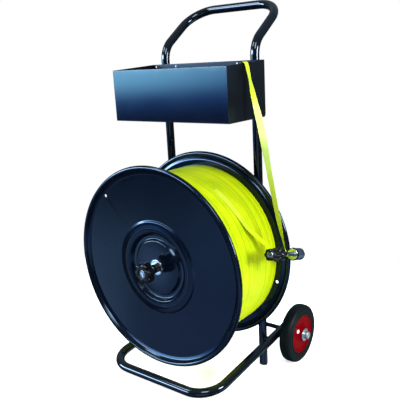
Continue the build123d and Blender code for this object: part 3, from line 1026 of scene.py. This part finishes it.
washers, caps = Solid(), Solid()
for sgn in (-1, 1):
    o, ax = (0, AXLE_Y, AXLE_Z), (sgn, 0, 0)
    for a, b, r in ((174.2, 178.4, 15.0), (217.5, 219.5, 17.0)):
        washers.lathe(
            rounded([(6.1, a), (r, a), (r, b), (6.1, b)], [0.2, 0.4, 0.7, 0.2], 3), o, ax, 64, True, (0, 1, 0)
        )
    caps.lathe(
        rounded([(6.02, 219.7), (10.5, 219.7), (10.5, 227.6), (9.0, 229.7), (3.0, 229.7), (2.4, 228.9), (0.01, 228.9), (0.01, 226.6), (6.02, 226.6)], [0, 0.4, 1.0, 0.8, 0.3, 0.3, 0, 0, 0], 4),
        o,
        ax,
        64,
        True,
        (0, 1, 0),
    )
washers.done("axle_washer_set", "bright", "frame", "chrome_steel", "axle_washers")
caps.done("axle_cap_set", "bright", "frame", "chrome_steel", "axle_caps")

# ---------------------------------------------------------------- strap guide
GO, GD = tuple(GUIDE_O), tuple(GUIDE_DIR)
Solid().lathe(
    rounded(
        [(5.02, 0.1), (14.5, 0.1), (14.5, 32.1), (13.0, 32.1), (13.0, 36.6), (5.02, 36.6)],
        [0, 0.8, 0.8, 0.3, 0.4, 0.2],
        4,
    ),
    GO,
    GD,
    96,
).done("guide_spool_body", "blued", "frame", "guide_steel", "guide_spool")
Solid().lathe(
    rounded([(13.02, 32.2), (15.5, 32.2), (15.5, 37.2), (13.02, 37.2)], [0.2, 0.8, 1.1, 0.3], 4), GO, GD, 96
).done("guide_spool_edge_ring", "knob", "frame", "guide_steel", "guide_spool")
Solid().lathe(
    rounded([(5.02, 36.65), (13.0, 36.65), (13.0, 37.3), (12.4, 37.6), (5.02, 37.6)], [0, 0.1, 0.2, 0.2, 0.1], 3),
    GO,
    GD,
    96,
).done("guide_spool_polished_face", "chrome", "frame", "guide_steel", "guide_spool")
Solid().lathe(
    rounded([(0.01, -12), (5.0, -12), (5.0, 143.6), (0.01, 144)], [0, 0.6, 1.0, 0], 3), GO, GD, 48
).done("guide_bright_rod", "blued", "frame", "zinc_steel", "guide_rod")
star(
    GO,
    GD,
    rounded(
        [(8.0, 88), (10.0, 88), (10.6, 91.5), (16.2, 92.6), (17.5, 95), (17.5, 112), (15.5, 115.2), (13.6, 117), (14.4, 119), (14.4, 144), (13.2, 147), (9.6, 147), (8.0, 145)],
        [0, 0.4, 0.8, 1.2, 1.5, 2.4, 1.5, 1.0, 1.0, 1.8, 1.2, 0.6, 0.3],
        4,
    ),
    6,
    4.5,
    math.radians(12),
    inner=9.0,
    outer=16.0,
).done("guide_star_knob", "knob", "guide_knob", "black_plastic", "guide_knob", sharp=50)
Solid().lathe(
    rounded([(5.05, 88), (7.95, 88), (7.95, 145.0), (5.05, 145.0)], [0, 0.2, 0.8, 0.5], 3), GO, GD, 48
).done("guide_knob_bush", "chrome", "guide_knob", "chrome_steel", "guide_knob_insert")

# ---------------------------------------------------------------- free strap
# control points of the strap's line, in assembly millimetres, with the
# direction of its width at each
S_ON = 79.0  # where it crosses the guide rod, along the guide's axis
AX0 = GUIDE_O + GUIDE_DIR * S_ON
T_UP = Vector((0, math.sin(G), math.cos(G)))


def about_rod(angle, dist, along=0.0):
    a = math.radians(angle)
    return AX0 + Vector((1, 0, 0)) * math.cos(a) * dist + T_UP * math.sin(a) * dist + GUIDE_DIR * along


def on_coil(theta, lift, y):
    a = math.radians(theta)
    r = COIL_R + 0.6 + lift
    return Vector((r * math.cos(a), y, REEL_Z + r * math.sin(a)))


def w(deg, tilt=0.0):
    a = math.radians(deg)
    return Vector((math.cos(a), math.sin(a), tilt))


ROD_W = -GUIDE_DIR
STRAP = [
    (on_coil(58, -1.0, -150.0), w(90)),
    (on_coil(52, -0.4, -149.5), w(90)),
    (on_coil(46, 0.0, -149.0), w(90)),
    (on_coil(39.5, 0.2, -148.0), w(90)),
    (on_coil(33, 1.4, -146.0), w(90)),
    (on_coil(26.5, 4.5, -143.0), w(90)),
    (Vector((226.0, -127.0, 397.5)), w(92)),
    (Vector((252.0, -109.5, 370.0)), ROD_W),
    (about_rod(-103, 7.3, -0.5), ROD_W),
    (about_rod(-26, 7.3, 0.0), ROD_W),
    (Vector((271.2, -99.3, 371.5)), w(108, -0.2)),
    (Vector((264.4, -97.0, 391.0)), w(134)),
    (Vector((249.3, -96.0, 458.0)), w(163)),
    (Vector((231.0, -96.0, 550.0)), w(172)),
    (Vector((213.5, -96.5, 655.0)), w(34)),
    (Vector((196.5, -97.0, 719.0)), w(72)),
    (Vector((186.5, -96.5, 763.0)), w(101)),
    (Vector((181.4, -96.0, 787.0)), w(94)),
    (Vector((177.6, -96.0, 800.4)), w(90)),
    (Vector((168.3, -96.0, 801.6)), w(90)),
    (Vector((163.0, -97.0, 788.0)), w(90)),
    (Vector((158.0, -99.0, 752.0)), w(88)),
    (Vector((147.0, -103.0, 712.0)), w(84)),
    (Vector((141.0, -106.0, 690.0)), w(80)),
]


def strap_ribbon():
    cu = bpy.data.curves.new("strap_line", "CURVE")
    cu.dimensions = "3D"
    cu.resolution_u = 14
    sp = cu.splines.new("NURBS")
    sp.points.add(len(STRAP) - 1)
    for p, (v, _) in zip(sp.points, STRAP):
        p.co = (*(STANCE @ v), 1)
    sp.order_u = 3
    sp.use_endpoint_u = True
    o = bpy.data.objects.new("strap_line", cu)
    me = bpy.data.meshes.new_from_object(o)
    line = [v.co.copy() for v in me.vertices]
    bpy.data.meshes.remove(me)
    bpy.data.objects.remove(o)
    bpy.data.curves.remove(cu)
    n = len(line)
    turn = STANCE.to_3x3()
    wide = [(turn @ v).normalized() for _, v in STRAP]
    ctrl = [STANCE @ v for v, _ in STRAP]
    # where along the line each control point acts: the nearest line point
    at, j = [], 0
    for c in ctrl:
        k = min(range(j, n), key=lambda i: (line[i] - c).length) if c is not ctrl[-1] else n - 1
        at.append(k)
        j = k
    at[0], at[-1] = 0, n - 1
    half, thick = 0.00775, 0.00035
    rows = []
    # keep the width vectors on one side
    for i in range(1, len(wide)):
        if wide[i].dot(wide[i - 1]) < 0 and i not in ():
            wide[i] = -wide[i]
    for i, p in enumerate(line):
        s = max(k for k in range(len(at)) if at[k] <= i)
        s = min(s, len(at) - 2)
        span = max(1, at[s + 1] - at[s])
        f = min(1.0, max(0.0, (i - at[s]) / span))
        f = f * f * (3 - 2 * f)
        v = wide[s].slerp(wide[s + 1], f) if hasattr(wide[s], "slerp") else wide[s].lerp(wide[s + 1], f)
        t = (line[min(i + 1, n - 1)] - line[max(i - 1, 0)]).normalized()
        v = (v - v.dot(t) * t).normalized()
        nrm = t.cross(v)
        rows.append((p, v, nrm))
    cols = 6
    verts, faces = [], []
    ring = []
    for a in range(cols + 1):
        u = -1 + 2 * a / cols
        ring.append((u, 1))
    for a in range(cols, -1, -1):
        u = -1 + 2 * a / cols
        ring.append((u, -1))
    m = len(ring)
    for p, v, nrm in rows:
        for u, side in ring:
            edge = 0.6 if abs(u) > 0.99 else 1.0
            verts.append(p + v * half * u + nrm * thick * side * edge)
    for i in range(n - 1):
        for k in range(m):
            q = (k + 1) % m
            faces.append((i * m + k, i * m + q, (i + 1) * m + q, (i + 1) * m + k))
    faces.append(tuple(range(m))[::-1])
    faces.append(tuple((n - 1) * m + k for k in range(m)))
    piece = make(
        "free_strap", verts, faces, "strap_free", "frame", "strap_plastic", "strap", sharp=60, keep_frame=True
    )
    return piece


strap_ribbon()

# ---------------------------------------------------------------- CAD nodes
CAD_LOOK = {
    "spindle_plate": "tube",
    "weld_beads": "tube",
    "spindle": "zinc",
    "thrust_washer": "nylon",
    "retaining_ring": "zinc",
    "reel_hub": "tube",
    "hub_bushes": "nylon",
    "core_drum": "tube",
    "axle": "tube",
    "wheel_bushes_left": "nylon",
    "wheel_bushes_right": "nylon",
    "guide_arm": "tube",
    "guide_nut": "zinc",
}
for node, look_name in CAD_LOOK.items():
    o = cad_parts[node]
    if not o.material_slots:
        o.data.materials.append(M[look_name])
    for sl in o.material_slots:
        sl.material = M[look_name]


# ---------------------------------------------------------------- studio
def floor():
    n = Nodes("studio_floor")
    p = n.pos()
    c = n.noise(p, 3.0, 3, 0.5)
    n.set(
        Base_Color=n.ramp(c, [(0.3, (0.89, 0.89, 0.89)), (0.7, (0.92, 0.92, 0.92))]),
        Roughness=0.9,
        Specular_IOR_Level=0.0,
        Emission_Color=(1, 1, 1),
        Emission_Strength=0.6,
    )
    me = bpy.data.meshes.new("floor")
    x0, x1, y0, y1, z = -1.15, 1.5, -1.15, 1.5, -0.0005
    me.from_pydata([(x0, y0, z), (x1, y0, z), (x1, y1, z), (x0, y1, z)], [], [(0, 1, 2, 3)])
    me.materials.append(n.mat)
    o = bpy.data.objects.new("floor", me)
    bpy.context.collection.objects.link(o)
    o.visible_glossy = False


floor()


def area(name, where, target, size, power, colour=(1, 1, 1), size_y=None):
    l = bpy.data.lights.new(name, "AREA")
    l.shape = "RECTANGLE"
    l.size = size
    l.size_y = size_y or size
    l.energy = power
    l.color = colour
    o = bpy.data.objects.new(name, l)
    bpy.context.collection.objects.link(o)
    o.location = where
    d = Vector(target) - Vector(where)
    o.rotation_euler = d.to_track_quat("-Z", "Y").to_euler()
    return o


def heading(az, el):
    """A direction: azimuth from the front towards the left, elevation up."""
    a, e = math.radians(az), math.radians(el)
    return (-math.sin(a) * math.cos(e), -math.cos(a) * math.cos(e), math.sin(e))


def studio():
    scene = bpy.context.scene
    world = bpy.data.worlds.new("studio")
    scene.world = world
    world.use_nodes = True
    t = world.node_tree
    t.nodes.clear()
    out = t.nodes.new("ShaderNodeOutputWorld")
    coord = t.nodes.new("ShaderNodeTexCoord").outputs["Generated"]

    def value(op, a, b=None, clamp=False):
        n = t.nodes.new("ShaderNodeMath")
        n.operation = op
        n.use_clamp = clamp
        for i, v in enumerate((a, b)):
            if v is None:
                continue
            if isinstance(v, bpy.types.NodeSocket):
                t.links.new(v, n.inputs[i])
            else:
                n.inputs[i].default_value = v
        return n.outputs[0]

    def along(d):
        n = t.nodes.new("ShaderNodeVectorMath")
        n.operation = "DOT_PRODUCT"
        t.links.new(coord, n.inputs[0])
        n.inputs[1].default_value = d
        return n.outputs["Value"]

    def between(v, a, b, lo=0.0, hi=1.0):
        n = t.nodes.new("ShaderNodeMapRange")
        n.interpolation_type = "SMOOTHSTEP"
        t.links.new(v, n.inputs["Value"])
        n.inputs["From Min"].default_value = a
        n.inputs["From Max"].default_value = b
        n.inputs["To Min"].default_value = lo
        n.inputs["To Max"].default_value = hi
        return n.outputs[0]

    def tinted(fac, colour):
        n = t.nodes.new("ShaderNodeVectorMath")
        n.operation = "SCALE"
        n.inputs[0].default_value = colour
        t.links.new(fac, n.inputs["Scale"])
        return n.outputs[0]

    def total(*parts):
        s = parts[0]
        for p in parts[1:]:
            n = t.nodes.new("ShaderNodeVectorMath")
            n.operation = "ADD"
            t.links.new(s, n.inputs[0])
            t.links.new(p, n.inputs[1])
            s = n.outputs[0]
        return s

    rise = along((0, 0, 1))

    def soft_box(*masks):
        v = masks[0]
        for m in masks[1:]:
            v = value("MULTIPLY", v, m)
        return v

    def bearing(az):
        """Below zero on the front's side of this azimuth, above it beyond."""
        a = math.radians(az)
        return along((-math.cos(a), math.sin(a), 0))

    # dim room, a little lighter overhead
    room = tinted(between(rise, -0.3, 0.9, 0.05, 0.42), (0.75, 0.88, 1.0))
    # tall soft panel to the left: its lower edge fades out under the horizon
    left = soft_box(
        between(rise, -0.20, -0.06),
        between(rise, 0.42, 0.15),
        between(along(heading(50, 0)), 0.925, 1.0),
    )
    left = tinted(left, (3.0, 6.4, 7.6))
    haze = soft_box(between(rise, -0.30, -0.13), between(rise, 0.42, 0.15), between(along(heading(46, 0)), 0.88, 0.96))
    haze = tinted(haze, (0.25, 0.75, 2.3))
    # low glow from the front left, with one brighter patch
    low = soft_box(between(rise, -0.33, -0.44), between(rise, -0.80, -0.58), between(bearing(50), 0.028, -0.045))
    low = tinted(low, (0.24, 0.36, 0.66))
    patch = tinted(between(along(heading(47.0, -24.8)), 0.992, 0.9998), (0.5, 0.8, 1.15))
    # the panel's bright middle, seen in the gloss as one clean line
    strip = soft_box(
        between(rise, -0.02, 0.05),
        between(rise, 0.25, 0.18),
        between(along(heading(42, 6)), 0.90, 0.945),
    )
    strip = tinted(strip, (22, 24, 27))
    # pale card low on the right at the back
    card = soft_box(between(along((0.56, 0.70, -0.44)), 0.88, 0.95), between(rise, -0.22, -0.30))
    card = tinted(card, (0.50, 0.66, 0.68))
    # and one in front at the right, for the ends' rounded sides
    front = soft_box(between(along((0.50, -0.80, -0.33)), 0.90, 0.97), between(rise, -0.12, -0.22))
    front = tinted(front, (0.55, 0.70, 0.74))
    path = t.nodes.new("ShaderNodeLightPath")
    gloss_only = t.nodes.new("ShaderNodeVectorMath")
    gloss_only.operation = "SCALE"
    t.links.new(total(strip, card, front), gloss_only.inputs[0])
    t.links.new(path.outputs["Is Glossy Ray"], gloss_only.inputs["Scale"])
    env = t.nodes.new("ShaderNodeBackground")
    t.links.new(total(room, left, haze, low, patch, gloss_only.outputs[0]), env.inputs[0])
    env.inputs[1].default_value = 1.0
    white = t.nodes.new("ShaderNodeBackground")
    white.inputs[0].default_value = (1, 1, 1, 1)
    white.inputs[1].default_value = 1.0
    mix = t.nodes.new("ShaderNodeMixShader")
    t.links.new(path.outputs["Is Camera Ray"], mix.inputs[0])
    t.links.new(env.outputs[0], mix.inputs[1])
    t.links.new(white.outputs[0], mix.inputs[2])
    t.links.new(mix.outputs[0], out.inputs[0])
    scene.view_settings.view_transform = "Standard"
    area("side", (2.6, 0.1, 1.15), (0.12, -0.05, 0.35), 0.75, 84, (1, 0.99, 0.97))
    area("key", (1.5, -2.3, 2.3), (0.05, -0.05, 0.35), 1.1, 52, (1, 0.99, 0.97))
    area("fill", (-1.6, -2.1, 2.5), (0, -0.1, 0.5), 0.8, 36, (0.93, 0.97, 1.0))
    area("back", (0.4, 1.6, 2.6), (0, 0, 0.3), 1.2, 40).visible_glossy = False
    area("over", (0.0, -0.6, 3.0), (0, -0.2, 0.0), 1.0, 30).visible_glossy = False

studio()
